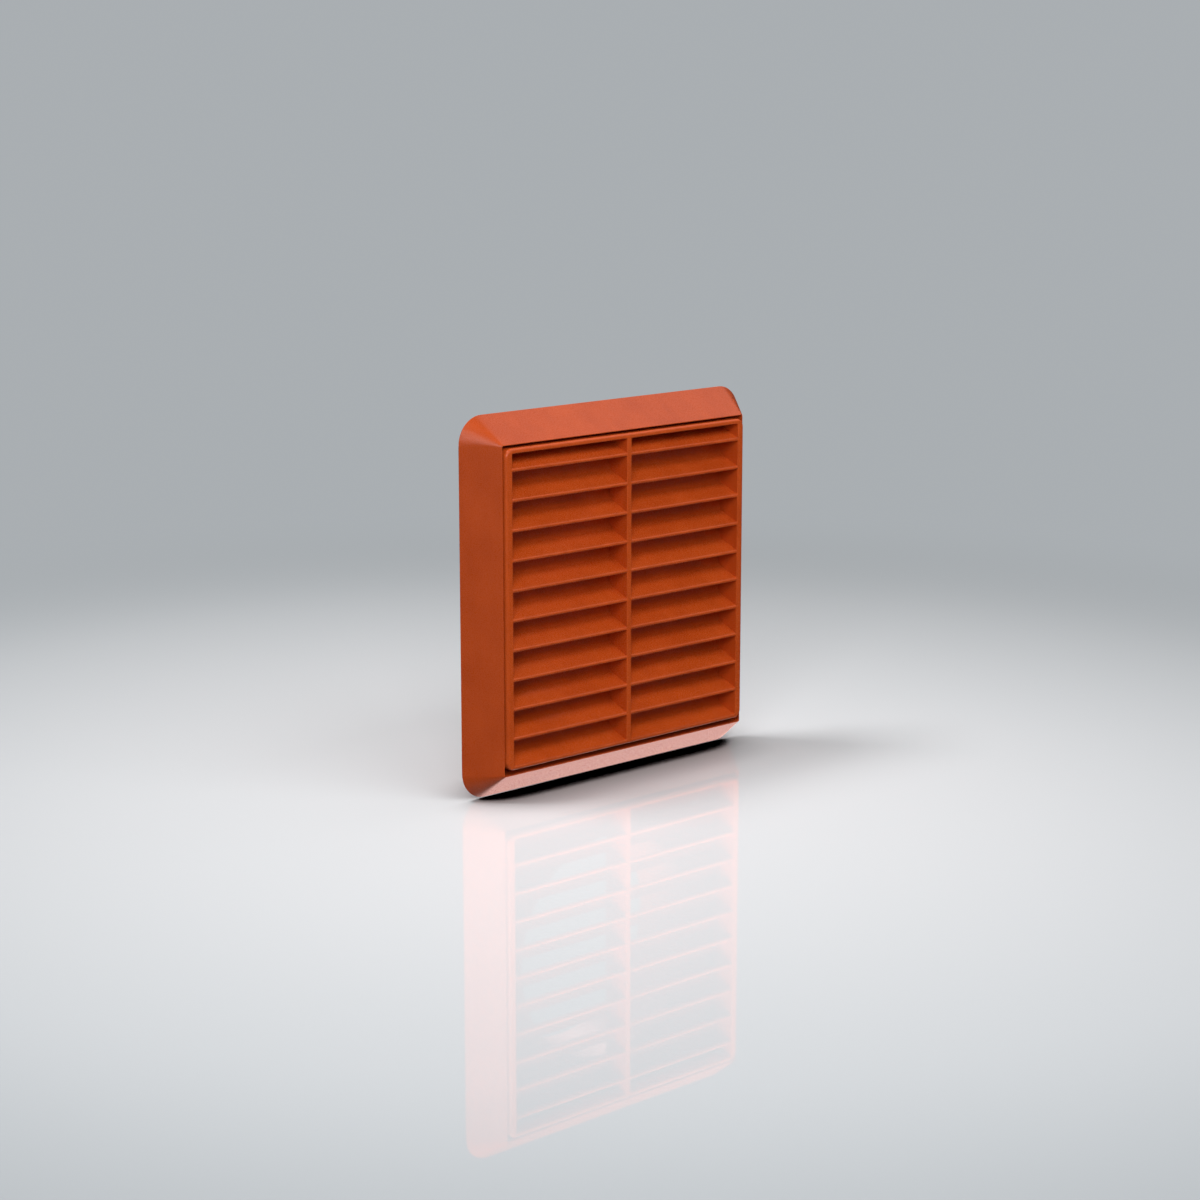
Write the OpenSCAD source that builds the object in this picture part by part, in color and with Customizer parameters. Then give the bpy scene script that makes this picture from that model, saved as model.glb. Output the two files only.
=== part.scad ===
// Louvred grille for a round duct: a sloping surround with a duct spigot,
// and a slatted panel that snaps into its front.
// Lengths are in millimetres. The finished grille stands upright with +Z up:
// the wall is the plane y = 0, the slats face -Y and the spigot points to +Y.

/* [Surround] */
// Width and height of the surround where it meets the wall
overall_w = 150; // [140:1:200]
// Depth of the surround from the wall to its front edge
surround_d = 13.2; // [10:0.1:18]
// How far each side slopes in between the wall and the front edge
flare = 10.5; // [7:0.5:14]
// Radius of the upright corners at the front edge
front_corner_r = 0.7; // [0.5:0.1:2]
// Width of the flat land along the front edge
edge_land = 0.3; // [0.2:0.05:0.45]
// Thickness of the sloping skin
skin_t = 2; // [1.5:0.1:2.5]
// Thickness of the walls round the pocket that holds the panel
pocket_wall_t = 2; // [1.5:0.1:2.5]
// Thickness of the back plate
plate_t = 2.4; // [1.8:0.1:3]
// Thickness of the webs in the hollow behind the skin
web_t = 1.4; // [1:0.1:2]
// Distance between neighbouring webs
web_spacing = 26; // [20:1:32]

/* [Duct spigot] */
// Outer diameter of the spigot, a clearance fit in a round duct
spigot_od = 98; // [80:1:104]
// Wall of the spigot
spigot_wall = 2; // [1.5:0.1:3]
// Length of the spigot behind the wall face
spigot_len = 28; // [15:1:60]
// Lead-in chamfer at the end of the spigot
spigot_chamfer = 1; // [0.5:0.1:1.4]

/* [Fixing holes] */
// Distance between the fixing holes, across and up
hole_spacing = 104; // [98:1:110]
// Diameter of a fixing hole
hole_d = 4.5; // [3.5:0.1:5.5]
// Diameter of the countersink for the screw's head, at the front of the plate
screw_head_d = 8; // [7:0.1:8.5]

/* [Louvre panel] */
// How far the panel stands in front of the surround
panel_proud = 1.5; // [0.5:0.1:3]
// Clearance between the panel and the pocket at each side
side_gap = 0.3; // [0.2:0.05:0.4]
// Slot above the panel, for the tool that frees it
top_gap = 1.1; // [0.5:0.1:2]
// Slot below the panel, where rain drains out
bottom_gap = 2; // [0.5:0.1:3]
// Radius of the panel's corners
panel_corner_r = 3.4; // [2.6:0.1:5]
// Rounding of the panel's front edge
panel_edge_r = 1.2; // [0.6:0.1:1.5]
// Width of the rim at the left and right of the slats
rim_side_w = 3.3; // [2.5:0.1:5]
// Height of the rim above the slats
rim_top_w = 2; // [1.8:0.1:4]
// Height of the rail below the slats
rail_w = 1.8; // [1.7:0.1:3]
// Width of the upright bar between the two rows of slats
mullion_w = 2.4; // [1.6:0.1:5]

/* [Slats] */
// Number of slats above the bottom rail
slat_count = 10; // [8:1:10]
// Distance between neighbouring slats
slat_pitch = 11.62; // [10:0.01:11.7]
// Thickness of a slat
slat_t = 1.6; // [1.2:0.1:2]
// Slope of a slat, down towards the front, in degrees
slat_angle = 23; // [15:1:30]
// Clearance between the slats and the back plate
slat_back_gap = 0.6; // [0.4:0.1:2]
// Height of the rain stop along the back of a slat
stop_h = 4.4; // [3:0.1:5]
// Thickness of the rain stop
stop_t = 1.3; // [1:0.1:1.6]
// Radius of the fillet between a slat's blade and its rain stop
stop_fillet = 3; // [1:0.1:4]

/* [Snap noses] */
// Length of a nose along the side of the panel
nose_len = 8; // [5:0.5:12]
// How far a nose stands out from the side of the panel
nose_out = 0.9; // [0.6:0.05:1.2]
// Depth of a nose, from its lead-in to its catch
nose_d = 2.8; // [2:0.1:3.5]
// Share of a nose's depth that its lead-in takes
nose_lead = 0.6; // [0.3:0.05:0.8]
// Height of a nose above the back plate
nose_up = 3; // [1:0.1:4.5]
// Distance between the two noses on each side
nose_spacing = 78; // [60:1:90]
// Clearance round a nose in its window
nose_clear = 0.3; // [0.2:0.05:0.5]

/* [Hidden] */
$fn = 64;
eps = 0.5;

// Surround: half sizes from the centre line
wall_half = overall_w / 2;
front_half = wall_half - flare;
corner_core = front_half - front_corner_r;
slope_run = surround_d / flare;
skin_across = skin_t * sqrt(1 + pow(flare / surround_d, 2));
pocket_half = front_half - edge_land;
pocket_outer = pocket_half + pocket_wall_t;
hollow_half = wall_half - skin_across;
hollow_root = 0.6;
hollow_d = (hollow_half - pocket_outer - hollow_root) * slope_run;
hollow_mouth = thousandth(hollow_half + eps / slope_run);
hollow_slope = thousandth((hollow_d + eps) / slope_run);
web_count = floor(corner_core / web_spacing);

// Duct spigot
spigot_r = spigot_od / 2;
bore_r = spigot_r - spigot_wall;

// Countersink of a fixing hole, at 90 degrees
hole_r = hole_d / 2;
sink_d = screw_head_d / 2 - hole_r;

// Louvre panel
panel_half = pocket_half - side_gap;
panel_top = pocket_half - top_gap;
panel_bottom = -pocket_half + bottom_gap;
panel_h = panel_top - panel_bottom;
panel_mid = (panel_top + panel_bottom) / 2;
panel_d = surround_d + panel_proud - plate_t;
panel_front = plate_t + panel_d;
bay_half = panel_half - rim_side_w;
bay_top = panel_top - rim_top_w;
bay_bottom = panel_bottom + rail_w;
edge_steps = 5;

// Slats, measured back from the panel's front
slat_d = panel_d - slat_back_gap;
nose_r = slat_t / 2;
stop_front = slat_d - stop_t;
fillet_steps = 6;
crown_steps = 6;

// Length kept to a thousandth, so that the faces of neighbouring blocks meet exactly
function thousandth(length) = round(length * 1000) / 1000;

// Draws what follows with its back against the wall and its top upwards
module on_wall() {
    rotate([90, 0, 0]) children();
}

// Block with rounded corners, centred, standing on z = 0. Its four sides slope in
// by the same amount, so that each corner is part of a cone.
module block(half_w, half_h, corner_r, height, slope_in = 0) {
    for (side = [[half_w, half_h - corner_r, 0], [half_h, half_w - corner_r, 90]])
        rotate([90, 0, side[2]])
            linear_extrude(2 * side[1], center = true)
                polygon([[-side[0], 0], [side[0], 0],
                         [side[0] - slope_in, height], [-side[0] + slope_in, height]]);
    for (side = [-1, 1], end = [-1, 1])
        translate([side * (half_w - corner_r), end * (half_h - corner_r), 0])
            cylinder(r1 = corner_r, r2 = corner_r - slope_in, h = height);
}

// The hollow behind the sloping skin, crossed by stiffening webs
module skin_hollow() {
    difference() {
        translate([0, 0, -eps])
            block(hollow_mouth, hollow_mouth, hollow_mouth - corner_core,
                  hollow_d + eps, hollow_slope);
        translate([0, 0, -2 * eps])
            block(pocket_outer, pocket_outer, pocket_outer - corner_core,
                  surround_d + 4 * eps);
        for (turn = [0, 90], i = [-web_count : web_count])
            rotate([0, 0, turn])
                translate([i * web_spacing - web_t / 2, -wall_half, -2 * eps])
                    cube([web_t, 2 * wall_half, surround_d + 4 * eps]);
    }
}

// Places a child at each fixing hole
module at_holes() {
    for (side = [-1, 1], end = [-1, 1])
        translate([side * hole_spacing / 2, end * hole_spacing / 2, 0])
            children();
}

// Places a child at each snap nose, pointing out of the panel's side
module at_noses() {
    for (turn = [0, 180], end = [-1, 1])
        rotate([0, 0, turn])
            translate([0, end * nose_spacing / 2, 0])
                children();
}

// Tube with a chamfered end, pointing down from z = 0 into the wall
module spigot_tube() {
    rotate_extrude()
        polygon([[bore_r, plate_t], [spigot_r, plate_t],
                 [spigot_r, -spigot_len + spigot_chamfer],
                 [spigot_r - spigot_chamfer, -spigot_len],
                 [bore_r, -spigot_len]]);
}

module surround() {
    color([0.66, 0.27, 0.13])
        on_wall()
            difference() {
                union() {
                    difference() {
                        block(wall_half, wall_half, wall_half - corner_core,
                              surround_d, flare);
                        skin_hollow();
                        translate([0, 0, plate_t])
                            block(pocket_half, pocket_half, pocket_half - corner_core,
                                  surround_d);
                    }
                    spigot_tube();
                }
                translate([0, 0, -spigot_len - eps])
                    cylinder(r = bore_r, h = spigot_len + plate_t + 2 * eps);
                at_holes() {
                    translate([0, 0, -eps])
                        cylinder(r = hole_r, h = plate_t + 2 * eps);
                    translate([0, 0, plate_t - sink_d])
                        cylinder(r1 = hole_r, r2 = hole_r + sink_d + eps, h = sink_d + eps);
                }
                at_noses()
                    translate([pocket_half - eps, -nose_len / 2 - nose_clear,
                               plate_t + nose_up - nose_clear])
                        cube([pocket_wall_t + 2 * eps, nose_len + 2 * nose_clear,
                              nose_d + 2 * nose_clear]);
            }
}

// Slab with rounded corners and a rounded front edge, built up in sloping steps
module soft_edged_slab(half_w, half_h, corner_r, edge_r, height) {
    inset = [for (i = [0 : edge_steps]) thousandth(edge_r * (1 - cos(90 * i / edge_steps)))];
    level = [for (i = [0 : edge_steps])
             thousandth(height - edge_r * (1 - sin(90 * i / edge_steps)))];
    block(half_w, half_h, corner_r, level[0]);
    for (i = [0 : edge_steps - 1])
        translate([0, 0, level[i]])
            block(half_w - inset[i], half_h - inset[i], corner_r - inset[i],
                  level[i + 1] - level[i], inset[i + 1] - inset[i]);
}

// Height of a slat's upper face above its lip, at a distance behind the front
function slat_face(back) =
    nose_r * (1 + 1 / cos(slat_angle)) + (back - nose_r) * tan(slat_angle);

// Fillet that leads the rain from the blade up the front of the rain stop
function blade_fillet() =
    let (centre_back = stop_front - stop_fillet,
         centre_up = slat_face(centre_back) + stop_fillet / cos(slat_angle))
        [for (i = [0 : fillet_steps])
            let (turn = slat_angle + (90 - slat_angle) * i / fillet_steps)
                [-centre_back - stop_fillet * sin(turn), centre_up - stop_fillet * cos(turn)]];

// Round crown of the rain stop, from its front over to its back
function stop_crown() =
    let (crown_r = stop_t / 2, centre_up = slat_face(stop_front) + stop_h - crown_r)
        [for (i = [0 : crown_steps])
            let (turn = 180 * i / crown_steps)
                [-stop_front - crown_r * (1 - cos(turn)), centre_up + crown_r * sin(turn)]];

// One slat lying along x: a round nose, a sloping blade and a rain stop.
// The lip's lowest line is y = 0 and its foremost line is z = 0.
module slat(half_len) {
    rotate([0, -90, 0])
        translate([0, 0, -half_len])
            linear_extrude(2 * half_len)
                polygon(concat(
                    [[-nose_r * (1 - sin(slat_angle)), nose_r * (1 + cos(slat_angle))]],
                    blade_fillet(),
                    stop_crown(),
                    [[-slat_d, slat_face(slat_d) - slat_t / cos(slat_angle)],
                     [-nose_r * (1 + sin(slat_angle)), nose_r * (1 - cos(slat_angle))]]));
    translate([-half_len, nose_r, -nose_r])
        rotate([0, 90, 0])
            cylinder(r = nose_r, h = 2 * half_len);
}

// Wedge with a sloping lead-in towards the wall and a square catch
module snap_nose() {
    translate([panel_half - eps, 0, plate_t + nose_up])
        rotate([90, 0, 0])
            linear_extrude(nose_len, center = true)
                polygon([[0, 0], [eps, 0], [eps + nose_out, nose_d * nose_lead],
                         [eps + nose_out, nose_d], [0, nose_d]]);
}

module louvre_panel() {
    slat_half = bay_half + rim_side_w / 2;
    color([0.7, 0.29, 0.14])
        on_wall() {
            difference() {
                translate([0, panel_mid, plate_t])
                    soft_edged_slab(panel_half, panel_h / 2, panel_corner_r,
                                    panel_edge_r, panel_d);
                for (side = [-1, 1])
                    translate([side < 0 ? -bay_half : mullion_w / 2, bay_bottom,
                               plate_t - eps])
                        cube([bay_half - mullion_w / 2, bay_top - bay_bottom,
                              panel_d + 2 * eps]);
            }
            intersection() {
                for (i = [0 : slat_count])
                    translate([0, panel_bottom + i * slat_pitch, panel_front])
                        slat(slat_half);
                translate([-panel_half, bay_bottom - rail_w / 2, 0])
                    cube([2 * panel_half,
                          bay_top - bay_bottom + (rim_top_w + rail_w) / 2,
                          panel_front + eps]);
            }
            at_noses()
                snap_nose();
        }
}

surround();
louvre_panel();
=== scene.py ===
# %% [markdown]
# # Louvred ducting grille
#
# The grille is two plastic mouldings: a sloping surround that is screwed to the wall over a
# duct, and a slatted panel that snaps into its front. This lesson dresses the two solids of the
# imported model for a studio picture. Every length is in metres and every place is in the model's
# own frame: the wall is the plane y = 0, the slats face -Y and Z points up.

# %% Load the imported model
import math

import bmesh
import bpy
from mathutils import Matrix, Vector


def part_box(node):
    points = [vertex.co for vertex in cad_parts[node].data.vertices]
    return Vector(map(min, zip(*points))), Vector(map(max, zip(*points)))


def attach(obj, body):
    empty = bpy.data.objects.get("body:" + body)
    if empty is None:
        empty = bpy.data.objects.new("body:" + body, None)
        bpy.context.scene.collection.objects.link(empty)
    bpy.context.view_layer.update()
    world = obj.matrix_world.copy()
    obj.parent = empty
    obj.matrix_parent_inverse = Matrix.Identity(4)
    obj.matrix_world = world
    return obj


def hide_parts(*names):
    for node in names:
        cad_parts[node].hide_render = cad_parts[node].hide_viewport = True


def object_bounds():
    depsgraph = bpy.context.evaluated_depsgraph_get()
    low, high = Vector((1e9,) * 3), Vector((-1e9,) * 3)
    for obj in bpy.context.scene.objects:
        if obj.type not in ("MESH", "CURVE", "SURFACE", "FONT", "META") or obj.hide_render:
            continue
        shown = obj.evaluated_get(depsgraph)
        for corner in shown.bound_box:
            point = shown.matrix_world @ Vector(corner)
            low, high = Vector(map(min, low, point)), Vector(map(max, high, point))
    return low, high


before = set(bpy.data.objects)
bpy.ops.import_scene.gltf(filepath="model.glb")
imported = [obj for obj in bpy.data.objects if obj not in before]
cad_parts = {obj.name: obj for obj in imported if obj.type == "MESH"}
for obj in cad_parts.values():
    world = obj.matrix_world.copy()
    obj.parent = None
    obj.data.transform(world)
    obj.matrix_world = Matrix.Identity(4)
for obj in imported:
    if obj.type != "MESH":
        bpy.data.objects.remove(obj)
cad_low, cad_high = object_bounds()
MM = 0.001
print("model box in mm:", [round(side / MM, 1) for side in cad_high - cad_low])

# %% [markdown]
# ## The camera first
#
# The picture's viewpoint decides how much detail is worth making, so the camera comes first.
# The grille is seen from above left with a long lens. The numbers are the camera's place and
# the two angles of its line of sight. A long lens keeps the upright edges nearly parallel. The
# centre's shift is a share of the picture's width and comes to less than a pixel.

# %% Camera
CAMERA_PLACE = Vector((-0.7013, -0.7583, 0.2092))
CAMERA_TURN = math.radians(-42.669)
CAMERA_RISE = math.radians(11.765)
LENS = 79.07
SENSOR = 36.0
CENTRE_SHIFT = (0.0, 0.0004)


def direction(turn, rise):
    """Unit vector from the grille towards a viewer at that turn from -Y and that height."""
    return Vector((math.sin(turn) * math.cos(rise),
                   -math.cos(turn) * math.cos(rise),
                   math.sin(rise)))


camera_data = bpy.data.cameras.new("camera")
camera_data.lens = LENS
camera_data.sensor_width = SENSOR
camera_data.clip_start = 0.01
camera_data.clip_end = 50
camera_data.shift_x = CENTRE_SHIFT[0]
camera_data.shift_y = CENTRE_SHIFT[1]
camera = bpy.data.objects.new("camera", camera_data)
bpy.context.scene.collection.objects.link(camera)
camera.location = CAMERA_PLACE
camera.rotation_euler = (-direction(CAMERA_TURN, CAMERA_RISE)).to_track_quat("-Z", "Y").to_euler()
bpy.context.scene.camera = camera
print("camera to grille in mm:", round(CAMERA_PLACE.length / MM))

# %% [markdown]
# ## Closed meshes from rings and profiles
#
# A moulding has no knife-sharp edge: every edge is rounded by a few tenths of a millimetre, and
# that thin rounding is what catches the light. So the panel is modelled from rings, which are
# rounded rectangles in planes parallel to the wall. Lofting one ring to the next makes the
# walls, and a quarter circle of small steps makes each rounded edge.

# %% Rings, lofts and extrusions
def rounded_rectangle(left, right, bottom, top, radius, steps=10):
    """Points (x, z) round a rectangle with rounded corners, anticlockwise seen from the front."""
    corners = [(right - radius, top - radius, 0), (left + radius, top - radius, 90),
               (left + radius, bottom + radius, 180), (right - radius, bottom + radius, 270)]
    points = []
    for x, z, start in corners:
        for step in range(steps + 1):
            angle = math.radians(start + 90 * step / steps)
            points.append((x + radius * math.cos(angle), z + radius * math.sin(angle)))
    return points


def quarter_round(radius, steps):
    """Pairs (run, rise) along a quarter circle that sets out along the rise."""
    angles = [math.radians(90 * step / steps) for step in range(steps + 1)]
    return [(radius * (1 - math.cos(angle)), radius * math.sin(angle)) for angle in angles]


def loft(bm, rings):
    """Joins rings of points into one closed shell with a flat face at each end."""
    loops = [[bm.verts.new(point) for point in ring] for ring in rings]
    count = len(loops[0])
    for first, second in zip(loops, loops[1:]):
        for i in range(count):
            j = (i + 1) % count
            bm.faces.new((first[i], first[j], second[j], second[i]))
    bm.faces.new(reversed(loops[0]))
    bm.faces.new(loops[-1])


def extrude_along_x(bm, profile, half_length):
    """Closed bar with a profile of (y, z) points, centred on x = 0."""
    loft(bm, [[(x, y, z) for y, z in profile] for x in (-half_length, half_length)])


def finish_mesh(bm, name):
    """Turns a bmesh drawn in millimetres into an object in metres, with its faces outwards."""
    bmesh.ops.recalc_face_normals(bm, faces=bm.faces)
    bmesh.ops.scale(bm, vec=(MM, MM, MM), verts=bm.verts)
    mesh = bpy.data.meshes.new(name)
    bm.to_mesh(mesh)
    bm.free()
    piece = bpy.data.objects.new(name, mesh)
    bpy.context.scene.collection.objects.link(piece)
    return piece


def apply_modifiers(piece):
    """Replaces a piece's mesh by the mesh that its modifiers make."""
    depsgraph = bpy.context.evaluated_depsgraph_get()
    made = bpy.data.meshes.new_from_object(piece.evaluated_get(depsgraph))
    piece.modifiers.clear()
    piece.data = made


def combine(piece, tool, operation):
    """Cuts or joins a piece with a tool, exactly, and throws the tool away."""
    step = piece.modifiers.new(operation.lower(), "BOOLEAN")
    step.solver = "EXACT"
    step.operation = operation
    step.object = tool
    apply_modifiers(piece)
    bpy.data.objects.remove(tool)


def open_edges(mesh):
    """Number of edges that don't have exactly two faces, which is 0 on a closed mesh."""
    bm = bmesh.new()
    bm.from_mesh(mesh)
    count = sum(len(edge.link_faces) != 2 for edge in bm.edges)
    bm.free()
    return count


# %% [markdown]
# ## The panel's rim and middle bar
#
# On the real panel the rim, the middle bar and the slats leave the mould together. Here the rim
# starts as a slab with a generous round along its front edge, and two bays are cut through it.
# Each cutter flares at the front in a small quarter circle, so the cut leaves a rounded edge on
# the rim and on the middle bar. In the picture those thin edges show as pale upright lines.

# %% Sizes of the panel, in millimetres
panel_low, panel_high = (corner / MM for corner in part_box("louvre_panel"))
PANEL_HALF = 63.9
PANEL_BOTTOM = panel_low.z
PANEL_TOP = panel_high.z
PANEL_FRONT = panel_low.y
PANEL_BACK = panel_high.y
CORNER_RADIUS = 3.4
EDGE_RADIUS = 1.2
BACK_EDGE_RADIUS = 0.25
RIM_SIDE = 3.3
RIM_TOP = 2.0
RAIL = 1.8
MIDDLE_BAR = 2.4
BAY_CORNER = 0.5
BAY_EDGE_RADIUS = 0.4
print("panel in mm:", 2 * PANEL_HALF, "wide and", round(PANEL_TOP - PANEL_BOTTOM, 1), "high")


def panel_ring(inset, y):
    """The panel's outline, moved inwards, in the plane y."""
    outline = rounded_rectangle(-PANEL_HALF + inset, PANEL_HALF - inset, PANEL_BOTTOM + inset,
                                PANEL_TOP - inset, CORNER_RADIUS - inset)
    return [(x, y, z) for x, z in outline]


# %% Rim
rim_mesh = bmesh.new()
back_round = [panel_ring(run, PANEL_BACK - BACK_EDGE_RADIUS + rise)
              for run, rise in quarter_round(BACK_EDGE_RADIUS, 3)]
front_round = [panel_ring(run, PANEL_FRONT + EDGE_RADIUS - rise)
               for run, rise in quarter_round(EDGE_RADIUS, 8)]
loft(rim_mesh, back_round[::-1] + front_round)
panel = finish_mesh(rim_mesh, "louvre_panel_moulding")

# %% Bays on both sides of the middle bar
OVERCUT = 2.0
BAYS = ((-PANEL_HALF + RIM_SIDE, -MIDDLE_BAR / 2), (MIDDLE_BAR / 2, PANEL_HALF - RIM_SIDE))
bay_mesh = bmesh.new()
for left, right in BAYS:
    def bay_ring(outset, y, left=left, right=right):
        outline = rounded_rectangle(left - outset, right + outset, PANEL_BOTTOM + RAIL - outset,
                                    PANEL_TOP - RIM_TOP + outset, BAY_CORNER + outset, 4)
        return [(x, y, z) for x, z in outline]

    flare = [bay_ring(run, PANEL_FRONT + BAY_EDGE_RADIUS - rise)
             for run, rise in quarter_round(BAY_EDGE_RADIUS, 5)]
    loft(bay_mesh, [bay_ring(0, PANEL_BACK + OVERCUT)] + flare
         + [bay_ring(BAY_EDGE_RADIUS, PANEL_FRONT - OVERCUT)])
combine(panel, finish_mesh(bay_mesh, "bays"), "DIFFERENCE")
print("rim with two bays:", len(panel.data.polygons), "faces,",
      open_edges(panel.data), "open edges")

# %% [markdown]
# ## The slats
#
# A slat is one section drawn from the side: a round lip, a blade that slopes down towards the
# room so that rain runs off, and an upright rain stop along its back. A section is extruded
# once and repeated by a loop. The lowest slat forms the top of the bottom rail. Each slat runs
# into the rim at both ends, and an exact union makes rim and slats one closed skin.

# %% Section of a slat, in millimetres behind the front and above the lip
SLAT_COUNT = 11
SLAT_PITCH = 11.62
SLAT_THICKNESS = 1.6
SLAT_SLOPE = math.radians(23)
SLAT_DEPTH = PANEL_BACK - PANEL_FRONT - 0.6
STOP_HEIGHT = 4.4
STOP_THICKNESS = 1.3
STOP_FILLET = 3.0
LIP_SETBACK = 0.03
LIP_STEPS = 14
FILLET_STEPS = 8
CROWN_STEPS = 6
lip_radius = SLAT_THICKNESS / 2


def slat_face(back):
    """Height of the blade's upper face at a distance behind the front."""
    return lip_radius * (1 + 1 / math.cos(SLAT_SLOPE)) + (back - lip_radius) * math.tan(SLAT_SLOPE)


def slat_section():
    """Points (back, up) of one slat, from under the lip, round it and back along the blade."""
    under = math.radians(-90) + SLAT_SLOPE
    section = []
    for step in range(LIP_STEPS + 1):
        angle = under - math.pi * step / LIP_STEPS
        section.append((lip_radius + lip_radius * math.cos(angle),
                        lip_radius + lip_radius * math.sin(angle)))
    stop_front = SLAT_DEPTH - STOP_THICKNESS
    stop_top = slat_face(stop_front) + STOP_HEIGHT
    bend = math.radians(90) - SLAT_SLOPE
    fillet_start = stop_front - STOP_FILLET * (1 - math.sin(SLAT_SLOPE))
    fillet_top = slat_face(fillet_start) + STOP_FILLET * math.cos(SLAT_SLOPE)
    for step in range(FILLET_STEPS + 1):
        angle = SLAT_SLOPE + bend * step / FILLET_STEPS
        section.append((stop_front - STOP_FILLET * (1 - math.sin(angle)),
                        fillet_top - STOP_FILLET * math.cos(angle)))
    crown = STOP_THICKNESS / 2
    for step in range(CROWN_STEPS + 1):
        angle = math.pi - math.pi * step / CROWN_STEPS
        section.append((stop_front + crown + crown * math.cos(angle),
                        stop_top - crown + crown * math.sin(angle)))
    section.append((SLAT_DEPTH, slat_face(SLAT_DEPTH) - SLAT_THICKNESS / math.cos(SLAT_SLOPE)))
    return section


def clip_height(section, low, high):
    """The part of a closed section of (y, z) points that lies between two heights."""
    for limit, sign in ((low, 1), (high, -1)):
        kept = []
        for (y0, z0), (y1, z1) in zip(section[-1:] + section[:-1], section):
            inside0 = sign * (z0 - limit) >= 0
            inside1 = sign * (z1 - limit) >= 0
            if inside0 != inside1:
                share = (limit - z0) / (z1 - z0)
                kept.append((y0 + share * (y1 - y0), limit))
            if inside1:
                kept.append((y1, z1))
        section = kept
    return section


# %% Slats between the rails
slat_mesh = bmesh.new()
slat_half = PANEL_HALF - RIM_SIDE / 2
rail_middle = PANEL_BOTTOM + RAIL / 2
top_middle = PANEL_TOP - RIM_TOP / 2
for number in range(SLAT_COUNT):
    lip_z = PANEL_BOTTOM + number * SLAT_PITCH
    placed = [(PANEL_FRONT + LIP_SETBACK + back, lip_z + up) for back, up in slat_section()]
    extrude_along_x(slat_mesh, clip_height(placed, rail_middle, top_middle), slat_half)
combine(panel, finish_mesh(slat_mesh, "slats"), "UNION")
print("panel with", SLAT_COUNT, "slats:", open_edges(panel.data), "open edges")

# %% [markdown]
# ## Snap noses
#
# Two small wedges on each side of the panel click into windows in the pocket's walls. They are
# hidden once the panel is in place, but they belong to its form, so they are kept.

# %% Snap noses
NOSE_LENGTH = 8.0
NOSE_OUT = 0.9
NOSE_DEPTH = 2.8
NOSE_LEAD = 1.68
NOSE_UP = 3.0
NOSE_HEIGHT = 39.0
NOSE_ROOT = 0.5

nose_mesh = bmesh.new()
nose_foot = PANEL_BACK - NOSE_UP
for side in (-1, 1):
    inner = side * (PANEL_HALF - NOSE_ROOT)
    outer = side * (PANEL_HALF + NOSE_OUT)
    section = [(inner, nose_foot), (side * PANEL_HALF, nose_foot), (outer, nose_foot - NOSE_LEAD),
               (outer, nose_foot - NOSE_DEPTH), (inner, nose_foot - NOSE_DEPTH)]
    for middle in (-NOSE_HEIGHT, NOSE_HEIGHT):
        loft(nose_mesh, [[(x, y, z) for x, y in section]
                         for z in (middle - NOSE_LENGTH / 2, middle + NOSE_LENGTH / 2)])
combine(panel, finish_mesh(nose_mesh, "noses"), "UNION")

print("finished panel:", len(panel.data.polygons), "faces,", open_edges(panel.data), "open edges")

# %% [markdown]
# ## The surround
#
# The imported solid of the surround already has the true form: sloping sides whose round corners
# are parts of cones, the hollow with its webs, the duct spigot and the countersunk screw holes.
# Only its edges are too sharp for a moulding. So its mesh is copied, its triangles are merged
# back into whole faces, and every outward edge gets a small round of its own width.

# %% Surround with rounded edges
SHARP = math.radians(30)
FLAT = math.radians(0.6)
surround_low, surround_high = (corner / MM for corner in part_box("surround"))
SURROUND_FRONT = surround_low.y
SURROUND_HALF = surround_high.x
WALL_EDGE_ROUND = 0.4
FRONT_LAND_ROUND = 0.12
DUCT_END_ROUND = 0.3
COMMON_ROUND = 0.18
ROUND_STEPS = 3
CORNER_CENTRE = 63.8
NEAR = 0.01
WELD = 0.001


def round_width(edge):
    """Width in millimetres of the round along an outward edge, from where the edge lies."""
    ends = [vert.co / MM for vert in edge.verts]
    if all(abs(end.y - SURROUND_FRONT) < NEAR for end in ends):
        return FRONT_LAND_ROUND
    if all(abs(end.y - surround_high.y) < NEAR for end in ends):
        return DUCT_END_ROUND
    if all(abs(end.y) < NEAR and outline_gap(end.x, end.z) < NEAR for end in ends):
        return WALL_EDGE_ROUND
    return COMMON_ROUND


def outline_gap(x, z):
    """Distance of a point on the wall face from the surround's outer outline."""
    over_x = max(abs(x) - CORNER_CENTRE, 0)
    over_z = max(abs(z) - CORNER_CENTRE, 0)
    return abs(math.hypot(over_x, over_z) - (SURROUND_HALF - CORNER_CENTRE))


def soften(node, name, width_of):
    """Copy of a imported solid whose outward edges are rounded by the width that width_of gives."""
    bm = bmesh.new()
    bm.from_mesh(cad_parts[node].data)
    bmesh.ops.remove_doubles(bm, verts=bm.verts, dist=WELD * MM)
    bmesh.ops.dissolve_limit(bm, angle_limit=FLAT, verts=bm.verts, edges=bm.edges)
    weights = bm.edges.layers.float.new("bevel_weight_edge")
    for edge in bm.edges:
        if edge.calc_face_angle_signed(0) > SHARP:
            edge[weights] = width_of(edge)
    mesh = bpy.data.meshes.new(name)
    bm.to_mesh(mesh)
    bm.free()
    piece = bpy.data.objects.new(name, mesh)
    bpy.context.scene.collection.objects.link(piece)
    bevel = piece.modifiers.new("rounds", "BEVEL")
    bevel.limit_method = "WEIGHT"
    bevel.width = MM
    bevel.segments = ROUND_STEPS
    bevel.use_clamp_overlap = False
    apply_modifiers(piece)
    return piece


surround = soften("surround", "surround_moulding", round_width)
print("surround:", len(surround.data.polygons), "faces,", open_edges(surround.data), "open edges")

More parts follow.
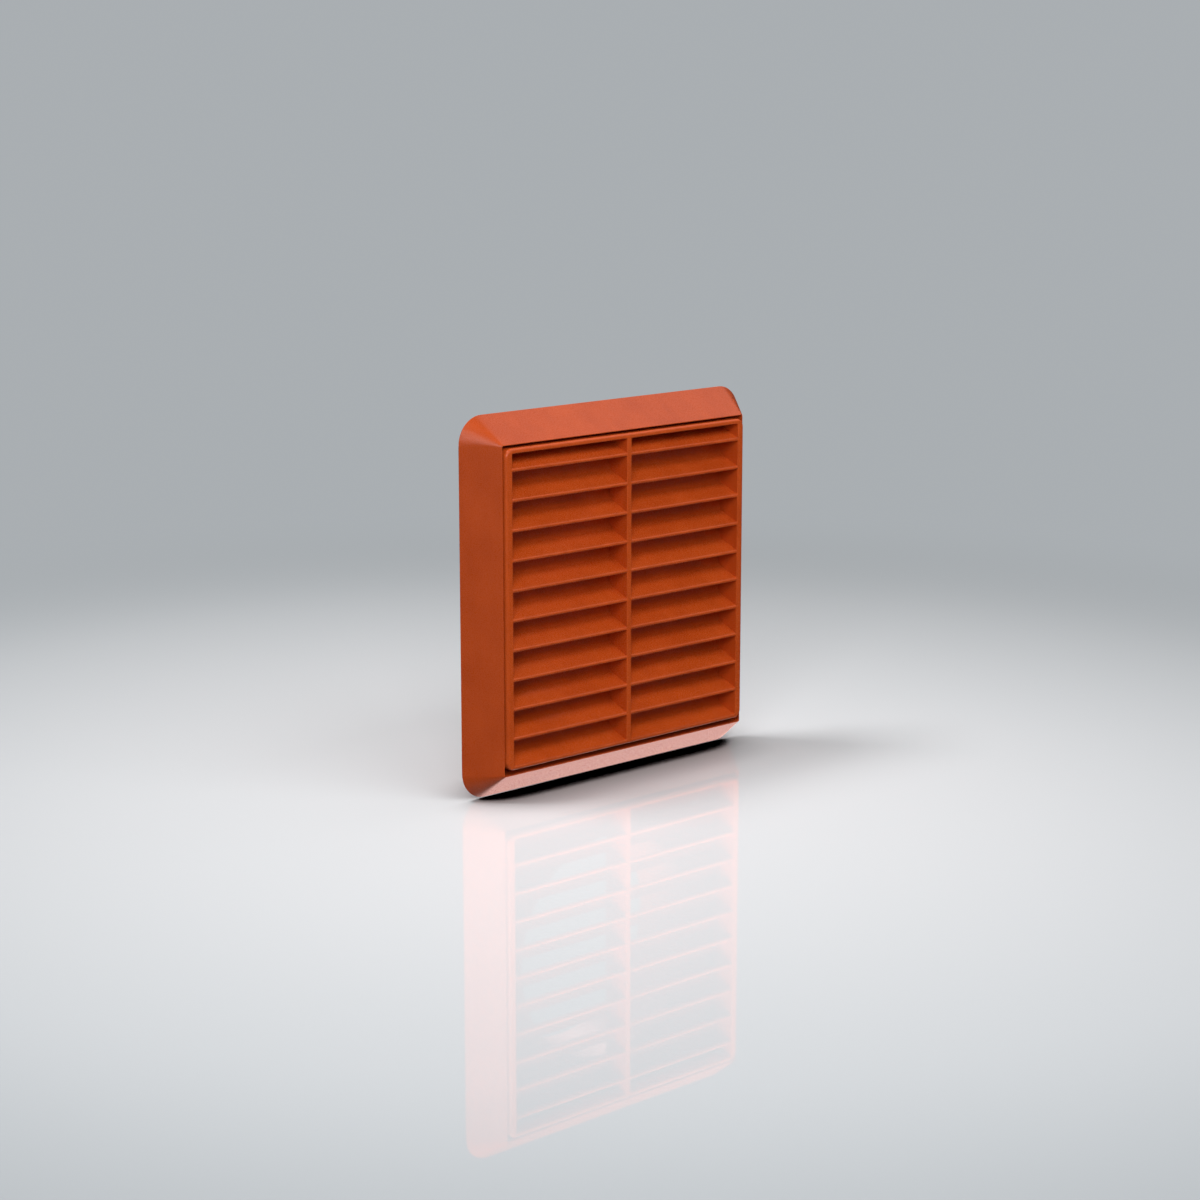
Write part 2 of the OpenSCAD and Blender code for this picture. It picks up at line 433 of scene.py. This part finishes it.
# %% [markdown]
# ## Shading large flats beside small rounds
#
# Smooth shading averages the normals of the faces round each point, and beside a small round
# that would bend the light across a whole flat face. Weighted normals let the large faces win,
# so flats stay flat and only the thin rounds turn. Inner corners stay crisp.

# %% Smooth shading with weighted normals
CRISP = math.radians(32)
LARGE_FACES_LEAD = 80


def shade(piece):
    """Shades a piece smooth, with crisp inner corners and normals led by the large faces."""
    bm = bmesh.new()
    bm.from_mesh(piece.data)
    for face in bm.faces:
        face.smooth = True
    for edge in bm.edges:
        edge.smooth = edge.calc_face_angle(0) < CRISP
    bm.to_mesh(piece.data)
    bm.free()
    weighted = piece.modifiers.new("weighted", "WEIGHTED_NORMAL")
    weighted.keep_sharp = True
    weighted.weight = LARGE_FACES_LEAD
    apply_modifiers(piece)


for piece in (panel, surround):
    shade(piece)
    crisp = sum(edge.use_edge_sharp for edge in piece.data.edges)
    print(piece.name, "has", crisp, "crisp edges of", len(piece.data.edges))

# %% [markdown]
# ## Node helpers
#
# A material is a small network. These two helpers keep the network readable: one adds a node
# and fills its sockets by name, the other starts a node group with named inputs and outputs.

# %% Node helpers
def add(tree, kind, **sockets):
    """Adds a node. Each named socket gets a value, or a link from another node's output."""
    node = tree.nodes.new("ShaderNode" + kind)
    for name, value in sockets.items():
        socket = node.inputs[name.replace("_", " ")]
        if isinstance(value, bpy.types.NodeSocket):
            tree.links.new(value, socket)
        else:
            socket.default_value = value
    return node


def mix(tree, factor, first, second):
    """Colour that goes from first to second as the factor goes from 0 to 1."""
    node = tree.nodes.new("ShaderNodeMix")
    node.data_type = "RGBA"
    for index, value in ((0, factor), (6, first), (7, second)):
        if isinstance(value, bpy.types.NodeSocket):
            tree.links.new(value, node.inputs[index])
        else:
            node.inputs[index].default_value = value
    return node.outputs[2]


def calculate(tree, operation, *values):
    """Result of a Math node on values or on other nodes' outputs."""
    node = tree.nodes.new("ShaderNodeMath")
    node.operation = operation
    for socket, value in zip(node.inputs, values):
        if isinstance(value, bpy.types.NodeSocket):
            tree.links.new(value, socket)
        else:
            socket.default_value = value
    return node.outputs[0]


def start_group(name, inputs, outputs):
    """New node group with named sockets. Returns its tree, its input node and its output node."""
    tree = bpy.data.node_groups.new(name, "ShaderNodeTree")
    for in_out, sockets in (("INPUT", inputs), ("OUTPUT", outputs)):
        for socket_name, kind in sockets.items():
            tree.interface.new_socket(socket_name, in_out=in_out, socket_type="NodeSocket" + kind)
    return tree, tree.nodes.new("NodeGroupInput").outputs, tree.nodes.new("NodeGroupOutput").inputs


def place_group(tree, group, **sockets):
    """Places a node group in a material, with its own values."""
    node = tree.nodes.new("ShaderNodeGroup")
    node.node_tree = group
    for name, value in sockets.items():
        socket = node.inputs[name.replace("_", " ")]
        if isinstance(value, bpy.types.NodeSocket):
            tree.links.new(value, socket)
        else:
            socket.default_value = value
    return node.outputs


# %% [markdown]
# ## Pigment drift
#
# Terracotta plastic is coloured in the mass, and the pigment never spreads quite evenly. It
# leaves soft clouds and, along the flow of the melt, faint streaks. Two noises make them: one
# even in all directions, one stretched. The group puts out the drifting colour.

# %% Pigment group
pigment, given, result = start_group(
    "pigment_drift",
    {"Position": "Vector", "Deep": "Color", "Pale": "Color", "Cloud Size": "Float",
     "Streak Size": "Float"},
    {"Color": "Color"})
clouds = add(pigment, "TexNoise", Vector=given["Position"], Detail=3.0, Roughness=0.55,
             Scale=calculate(pigment, "DIVIDE", 1.0, given["Cloud Size"]))
along_flow = add(pigment, "VectorMath", Vector=given["Position"])
along_flow.operation = "MULTIPLY"
along_flow.inputs[1].default_value = (1.0, 1.0, 0.16)
streaks = add(pigment, "TexNoise", Vector=along_flow.outputs["Vector"], Detail=2.0, Roughness=0.5,
              Scale=calculate(pigment, "DIVIDE", 1.0, given["Streak Size"]))
drift = calculate(pigment, "ADD",
                  calculate(pigment, "MULTIPLY", clouds.outputs["Fac"], 0.65),
                  calculate(pigment, "MULTIPLY", streaks.outputs["Fac"], 0.35))
spread = add(pigment, "MapRange", Value=drift, From_Min=0.36, From_Max=0.64)
pigment.links.new(mix(pigment, spread.outputs["Result"], given["Deep"], given["Pale"]),
                  result["Color"])
print("pigment drift:", len(pigment.nodes), "nodes")

# %% [markdown]
# ## Grain of the mould
#
# The steel of the mould is spark-eroded to a fine matt grain, which the plastic copies, and the
# skin over it has a slight long wave from cooling. Both are far too fine for mesh, so they are
# heights for a Bump node. The group puts out that height in metres, and the grain by itself,
# which also breaks up the gloss.

# %% Grain group
grain, given, result = start_group(
    "mould_grain",
    {"Position": "Vector", "Grain Size": "Float", "Grain Height": "Float", "Wave Size": "Float",
     "Wave Height": "Float"},
    {"Height": "Float", "Grain": "Float"})
pits = add(grain, "TexNoise", Vector=given["Position"], Detail=2.0, Roughness=0.6,
           Scale=calculate(grain, "DIVIDE", 1.0, given["Grain Size"]))
waves = add(grain, "TexNoise", Vector=given["Position"], Detail=1.0, Roughness=0.4,
            Scale=calculate(grain, "DIVIDE", 1.0, given["Wave Size"]))
grain.links.new(calculate(grain, "ADD",
                          calculate(grain, "MULTIPLY", pits.outputs["Fac"], given["Grain Height"]),
                          calculate(grain, "MULTIPLY", waves.outputs["Fac"], given["Wave Height"])),
                result["Height"])
grain.links.new(pits.outputs["Fac"], result["Grain"])
print("mould grain:", len(grain.nodes), "nodes")

# %% [markdown]
# ## Polish and painted highlight along the edges
#
# Handling and packing rub the outer edges first: there the grain is smoother. The colour there is
# made a touch paler too, which is partly wear and partly a painted highlight. A Bevel node gives
# the normal that a rounder edge would have. Where it differs from the true normal there is an
# edge, and a noise keeps the band from being even.

# %% Edge group
POLISH_SAMPLES = 6
edges, given, result = start_group(
    "edge_polish_and_highlight",
    {"Position": "Vector", "Reach": "Float", "Patch Size": "Float"},
    {"Mask": "Float"})
rounder = add(edges, "Bevel", Radius=given["Reach"])
rounder.samples = POLISH_SAMPLES
geometry = add(edges, "NewGeometry")
agreement = edges.nodes.new("ShaderNodeVectorMath")
agreement.operation = "DOT_PRODUCT"
edges.links.new(rounder.outputs["Normal"], agreement.inputs[0])
edges.links.new(geometry.outputs["Normal"], agreement.inputs[1])
band = add(edges, "MapRange", Value=agreement.outputs["Value"], From_Min=0.995, From_Max=0.86)
patches = add(edges, "TexNoise", Vector=given["Position"], Detail=3.0, Roughness=0.6,
              Scale=calculate(edges, "DIVIDE", 1.0, given["Patch Size"]))
broken = add(edges, "MapRange", Value=patches.outputs["Fac"], From_Min=0.35, From_Max=0.65,
             To_Min=0.45)
edges.links.new(calculate(edges, "MULTIPLY", band.outputs["Result"], broken.outputs["Result"]),
                result["Mask"])
print("edge polish:", len(edges.nodes), "nodes")

# %% [markdown]
# ## Terracotta plastic
#
# Both mouldings are the same satin plastic from two moulds, so one function makes both finishes
# and each gets its own colours and grain. The panel's tones are paler than the surround's: that
# is painted light, which makes up for the shade on its slats. The Principled shader stays in the
# material. Its index of refraction is that of the plastic, and the three groups feed colour, gloss
# and height.

# %% Materials
def terracotta(name, deep, pale, rubbed_highlight_colour, grain_size, grain_height, gloss):
    """Satin terracotta plastic, between a deep and a pale tone, with worn edges painted paler as a
    highlight.
    """
    material = bpy.data.materials.new(name)
    material.use_nodes = True
    tree = material.node_tree
    tree.nodes.clear()
    position = add(tree, "TexCoord").outputs["Object"]
    colour = place_group(tree, pigment, Position=position, Deep=deep, Pale=pale,
                         Cloud_Size=0.018, Streak_Size=0.005)["Color"]
    skin = place_group(tree, grain, Position=position, Grain_Size=grain_size,
                       Grain_Height=grain_height, Wave_Size=0.011, Wave_Height=0.00002)
    edge = place_group(tree, edges, Position=position, Reach=0.0006, Patch_Size=0.006)["Mask"]
    # Paler colour along the edges: partly wear, partly a painted highlight.
    rubbed_highlight_share = calculate(tree, "MULTIPLY", edge, 0.5)
    roughness = add(tree, "MapRange", Value=skin["Grain"], From_Min=0.3, From_Max=0.7,
                    To_Min=gloss - 0.05, To_Max=gloss + 0.05)
    polished = calculate(tree, "SUBTRACT", roughness.outputs["Result"],
                         calculate(tree, "MULTIPLY", edge, 0.08))
    bump = add(tree, "Bump", Height=skin["Height"], Distance=1.0, Strength=1.0)
    shader = add(tree, "BsdfPrincipled", Base_Color=mix(tree, rubbed_highlight_share, colour, rubbed_highlight_colour),
                 Roughness=polished, Normal=bump.outputs["Normal"], IOR=1.5,
                 Specular_IOR_Level=0.4)
    add(tree, "OutputMaterial", Surface=shader.outputs["BSDF"])
    return material


surround_finish = terracotta(
    "surround_terracotta", deep=(0.45, 0.058, 0.008, 1), pale=(0.52, 0.073, 0.012, 1),
    rubbed_highlight_colour=(0.58, 0.12, 0.035, 1), grain_size=0.00030, grain_height=0.000004, gloss=0.28)
# Painted light: the panel's tones are set paler than the surround's to brighten its shaded slats.
panel_finish_painted_lighter = terracotta(
    "panel_terracotta_painted_lighter", deep=(0.50, 0.066, 0.008, 1), pale=(0.58, 0.084, 0.012, 1),
    rubbed_highlight_colour=(0.60, 0.12, 0.035, 1), grain_size=0.00026, grain_height=0.000003, gloss=0.27)

# %% Dress the pieces and give them to the model
for piece, node, finish in ((surround, "surround", surround_finish),
                            (panel, "louvre_panel", panel_finish_painted_lighter)):
    piece.data.materials.clear()
    piece.data.materials.append(finish)
    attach(piece, "root")
    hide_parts(node)
    print(piece.name, "wears", finish.name)

# %% [markdown]
# ## Floor
#
# The grille stands on its lower back edge on a pale studio floor with a faint mirror gloss. The
# floor's colour is painted bright in a pool round the grille, a painted pool of light, and falls
# off to the tone of the backdrop, so floor and backdrop meet without a line. Under the overhang
# of the lower slope hardly any light gets in, and that shade is painted into the floor's colour.
# An Ambient Occlusion node measures how open a spot is. One steep ramp over that measure paints
# the black line right under the slope, and a gentle one paints the half shadow beside it.
# Behind the grille, under the duct spigot, the lamps' own shadow is dark enough without them.
#
# The gloss is a plain mirror added on top of the matt floor. A Fresnel node gives its strength,
# so it shows at a shallow angle and fades when the floor is seen from above.
#
# The floor is left out of the grille's own lighting and reflections: the world below the horizon
# takes its place, as in a picture shot over a light table.

# %% Floor
FLOOR_SIZE = 14.0
FLOOR_DROP = 0.00005
LIGHT_POOL_END = 0.53
LIGHT_POOL_TONE = (0.72, 0.725, 0.74, 1)
BACKDROP = (0.40, 0.425, 0.445, 1)
BACKDROP_START = 0.32
BACKDROP_END = 0.6
MIRROR_GAIN = 2.4
FLOOR_IOR = 1.5
CONTACT_REACH = 0.04
CONTACT_SAMPLES = 24
CONTACT_DARK = 0.36
CONTACT_EDGE = 0.50
CONTACT_CLEAR = 0.90
CONTACT_TONE = 0.5
BEHIND_START = 0.0
BEHIND_END = 0.012
UNDER_DUCT = 0.055
UNDER_DUCT_END = 0.068

floor_mesh = bmesh.new()
bmesh.ops.create_grid(floor_mesh, x_segments=1, y_segments=1, size=FLOOR_SIZE / 2 / MM)
floor = finish_mesh(floor_mesh, "floor")
floor.location.z = cad_low.z - FLOOR_DROP
floor.visible_diffuse = False
floor.visible_glossy = False

floor_finish = bpy.data.materials.new("studio_floor")
floor_finish.use_nodes = True
tree = floor_finish.node_tree
tree.nodes.clear()


def blend(tree, factor, first, second):
    """Shader that goes from first to second as the factor goes from 0 to 1."""
    node = tree.nodes.new("ShaderNodeMixShader")
    for socket, value in zip(node.inputs, (factor, first, second)):
        if isinstance(value, bpy.types.NodeSocket):
            tree.links.new(value, socket)
        else:
            socket.default_value = value
    return node.outputs[0]


place = add(tree, "TexCoord").outputs["Object"]
away = add(tree, "VectorMath", Vector=place)
away.operation = "LENGTH"
light_pool_falloff = add(tree, "MapRange", Value=away.outputs["Value"], From_Min=0.0, From_Max=LIGHT_POOL_END)
light_pool_falloff.interpolation_type = "SMOOTHSTEP"
far = add(tree, "MapRange", Value=away.outputs["Value"], From_Min=BACKDROP_START,
          From_Max=BACKDROP_END)
far.interpolation_type = "SMOOTHSTEP"
# Painted shade: the floor's colour turns dark where the plastic is near, from an Ambient Occlusion
# measure.
nearness = add(tree, "AmbientOcclusion", Distance=CONTACT_REACH)
nearness.samples = CONTACT_SAMPLES
dark_edge = add(tree, "MapRange", Value=nearness.outputs["AO"], From_Min=CONTACT_DARK,
                From_Max=CONTACT_EDGE).outputs["Result"]
half_dark = add(tree, "MapRange", Value=nearness.outputs["AO"], From_Min=CONTACT_EDGE,
                From_Max=CONTACT_CLEAR, To_Min=CONTACT_TONE).outputs["Result"]
open_floor = calculate(tree, "MINIMUM", dark_edge, half_dark)
across = add(tree, "SeparateXYZ", Vector=place)
behind = add(tree, "MapRange", Value=across.outputs["Y"], From_Min=BEHIND_START,
             From_Max=BEHIND_END).outputs["Result"]
between = add(tree, "MapRange", Value=calculate(tree, "ABSOLUTE", across.outputs["X"]),
              From_Min=UNDER_DUCT_END, From_Max=UNDER_DUCT).outputs["Result"]
lit = calculate(tree, "MAXIMUM", open_floor, calculate(tree, "MULTIPLY", behind, between))
# Painted pool of light: the floor's colour is pale near the grille and goes to the backdrop tone
# away from it.
pale = mix(tree, light_pool_falloff.outputs["Result"], LIGHT_POOL_TONE, BACKDROP)
matt = add(tree, "BsdfDiffuse", Color=mix(tree, lit, (0, 0, 0, 1), pale))
coat = calculate(tree, "MULTIPLY", add(tree, "Fresnel", IOR=FLOOR_IOR).outputs[0], MIRROR_GAIN)
# The painted shade dims the mirror too.
share = calculate(tree, "MULTIPLY", lit, coat)
mirror = add(tree, "BsdfGlossy", Roughness=0.0,
             Color=mix(tree, share, (0, 0, 0, 1), (1, 1, 1, 1)))
pool = add(tree, "AddShader")
tree.links.new(matt.outputs[0], pool.inputs[0])
tree.links.new(mirror.outputs[0], pool.inputs[1])
distance = add(tree, "Emission", Color=BACKDROP, Strength=1.0)
add(tree, "OutputMaterial",
    Surface=blend(tree, far.outputs["Result"], pool.outputs[0], distance.outputs[0]))
floor.data.materials.append(floor_finish)
print("floor at height in mm:", round(floor.location.z / MM, 2))

# %% [markdown]
# ## Light
#
# A tall softbox to the left of the camera lights the side and throws one long highlight down the
# round corner. A broad one above lights the front and the top and reaches in between the slats.
# A small strong one, high behind the grille, gives the floor its brightness and lays the soft
# shadow beside the grille. A broad one low behind it is for the back alone.

# %% Softboxes
def softbox(name, turn, rise, distance, width, height, brightness):
    """Rectangular area light aimed at the grille. A brightness of 1 looks as bright as white."""
    data = bpy.data.lights.new(name, "AREA")
    data.shape = "RECTANGLE"
    data.size = width
    data.size_y = height
    data.energy = brightness * math.pi * width * height
    lamp = bpy.data.objects.new(name, data)
    bpy.context.scene.collection.objects.link(lamp)
    towards = direction(math.radians(turn), math.radians(rise))
    lamp.location = towards * distance
    lamp.rotation_euler = towards.to_track_quat("Z", "Y").to_euler()
    lamp.visible_camera = False
    print(name, "softbox is", width, "by", height, "m and", distance, "m away")
    return lamp


key = softbox("key", turn=-47, rise=26, distance=1.3, width=0.6, height=0.8, brightness=6.1)
overhead = softbox("overhead", turn=5, rise=42, distance=1.4, width=1.3, height=0.8, brightness=2.8)
rear = softbox("rear", turn=-133, rise=66, distance=1.3, width=0.45, height=0.45, brightness=15.0)
fill = softbox("fill", turn=160, rise=10, distance=1.3, width=1.0, height=0.7, brightness=3.2)

# %% [markdown]
# ## No lamps in the floor's mirror
#
# Seen from some sides, the floor would mirror the softboxes as hard white patches. A lamp can't
# be hidden from one mirror only, so each of them becomes two in the same place. The first lights
# matt colour everywhere and makes no sheen. Its twin makes the sheen, and light linking keeps it
# on the plastic. The fill lights only the plastic, so the shadows on the floor stay as they are.

# %% The sheen for the plastic alone
plastic = bpy.data.collections.new("plastic")
for piece in (surround, panel):
    plastic.objects.link(piece)
for lamp in (key, overhead, rear):
    sheen = lamp.copy()
    sheen.name = lamp.name + "_sheen"
    sheen.visible_diffuse = False
    sheen.light_linking.receiver_collection = plastic
    bpy.context.scene.collection.objects.link(sheen)
    lamp.visible_glossy = False
fill.visible_glossy = False
fill.light_linking.receiver_collection = plastic

# %% [markdown]
# ## World
#
# The world is dim, so faces turned to the camera keep their full colour. Satin plastic mirrors
# it a little, and most where it is seen at a shallow angle. Soft patches stand where two faces
# look for their sheen: a white one above to the right for the top slope, and a strong pink one
# below for the lower slope. The camera itself sees the even tone of the backdrop.

# %% World
ABOVE = (0.664, -0.094, 0.742)
ABOVE_GLOW = 0.8
BELOW = (0.62, 0.45, -0.64)
BELOW_GLOW = 2.7
BELOW_TINT = (1.0, 0.58, 0.52, 1)
DOWN = (0.0, 0.0, -1.0)
DOWN_GLOW = 0.3
DIM = 0.07

world = bpy.data.worlds.new("studio")
bpy.context.scene.world = world
world.use_nodes = True
tree = world.node_tree
tree.nodes.clear()
towards = add(tree, "TexCoord").outputs["Generated"]


def lobe(centre, start, end, strength):
    """Soft patch of the world round a direction, from nothing at start to full at end."""
    facing = add(tree, "VectorMath", Vector=towards)
    facing.operation = "DOT_PRODUCT"
    facing.inputs[1].default_value = centre
    rise = add(tree, "MapRange", Value=facing.outputs["Value"], From_Min=start, From_Max=end,
               To_Min=0.0, To_Max=strength)
    rise.interpolation_type = "SMOOTHSTEP"
    return rise.outputs["Result"]


above = lobe(ABOVE, start=0.86, end=0.98, strength=ABOVE_GLOW)
below = lobe(BELOW, start=0.88, end=0.97, strength=BELOW_GLOW)
down = lobe(DOWN, start=0.6, end=0.95, strength=DOWN_GLOW)
even = calculate(tree, "ADD", calculate(tree, "ADD", above, down), DIM)
studio = add(tree, "Background", Color=(1, 1, 1, 1), Strength=even)
table = add(tree, "Background", Color=BELOW_TINT, Strength=below)
both = add(tree, "AddShader")
tree.links.new(studio.outputs[0], both.inputs[0])
tree.links.new(table.outputs[0], both.inputs[1])
backdrop = add(tree, "Background", Color=BACKDROP, Strength=1.0)
seen = add(tree, "LightPath").outputs["Is Camera Ray"]
add(tree, "OutputWorld", Surface=blend(tree, seen, both.outputs[0], backdrop.outputs[0]))
bpy.context.scene.view_settings.view_transform = "Standard"
